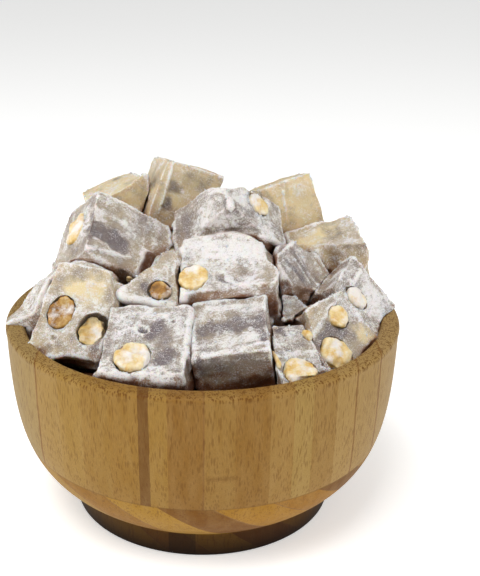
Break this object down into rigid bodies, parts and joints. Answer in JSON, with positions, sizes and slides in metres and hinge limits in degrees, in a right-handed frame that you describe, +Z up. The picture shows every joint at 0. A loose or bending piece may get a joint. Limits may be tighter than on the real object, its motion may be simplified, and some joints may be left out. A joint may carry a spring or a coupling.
{
  "type": "bowl of turkish delight",
  "caption": "Round footed bamboo bowl heaped above its rim with sugar-dusted blocks of nut-filled Turkish delight.",
  "frame": {"origin": "centre of the bowl's foot, on the surface that it stands on", "axes": "+Z up along the bowl's axis, -Y towards the side of the heap that slopes down to the rim, +X to the right of that side"},
  "size_m": [0.1404, 0.1404, 0.1195],
  "materials": {
    "bamboo": "turned laminated bamboo, oiled, satin",
    "dusted_gel": "starch gel under icing sugar, matt and powdery",
    "bare_gel": "translucent starch gel, thinly dusted",
    "gel_in_shade": "starch gel, matt",
    "cut_nut": "cut nut kernel, dry and matt",
    "roasted_nut": "roasted nut kernel, satin"
  },
  "bodies": {
    "root": {"bowl": "bamboo", "buried_sweets": "gel_in_shade", "nut_front_left": "cut_nut", "nut_front_right": "cut_nut", "nut_left_front_broken": "cut_nut", "nut_left_front_roasted": "roasted_nut", "nut_middle": "cut_nut", "nut_middle_left": "roasted_nut", "nut_right_front_lower": "cut_nut", "nut_right_front_upper": "cut_nut", "nut_right_side": "cut_nut", "nut_upper_left": "cut_nut", "nut_upper_middle": "cut_nut", "sweet_back_gap": "dusted_gel", "sweet_back_left": "bare_gel", "sweet_back_right": "bare_gel", "sweet_deep_middle": "bare_gel", "sweet_front_centre": "dusted_gel", "sweet_front_left": "dusted_gel", "sweet_front_right": "dusted_gel", "sweet_left_front": "dusted_gel", "sweet_left_side": "dusted_gel", "sweet_middle": "dusted_gel", "sweet_middle_left": "dusted_gel", "sweet_middle_right": "dusted_gel", "sweet_rear_centre": "dusted_gel", "sweet_rear_left": "dusted_gel", "sweet_rear_left_side": "dusted_gel", "sweet_rear_right": "dusted_gel", "sweet_rear_right_side": "dusted_gel", "sweet_right_front": "dusted_gel", "sweet_right_gap": "dusted_gel", "sweet_right_side": "dusted_gel", "sweet_top": "bare_gel", "sweet_upper_left": "dusted_gel", "sweet_upper_middle": "dusted_gel", "sweet_upper_right": "dusted_gel"}
  },
  "joints": []
}
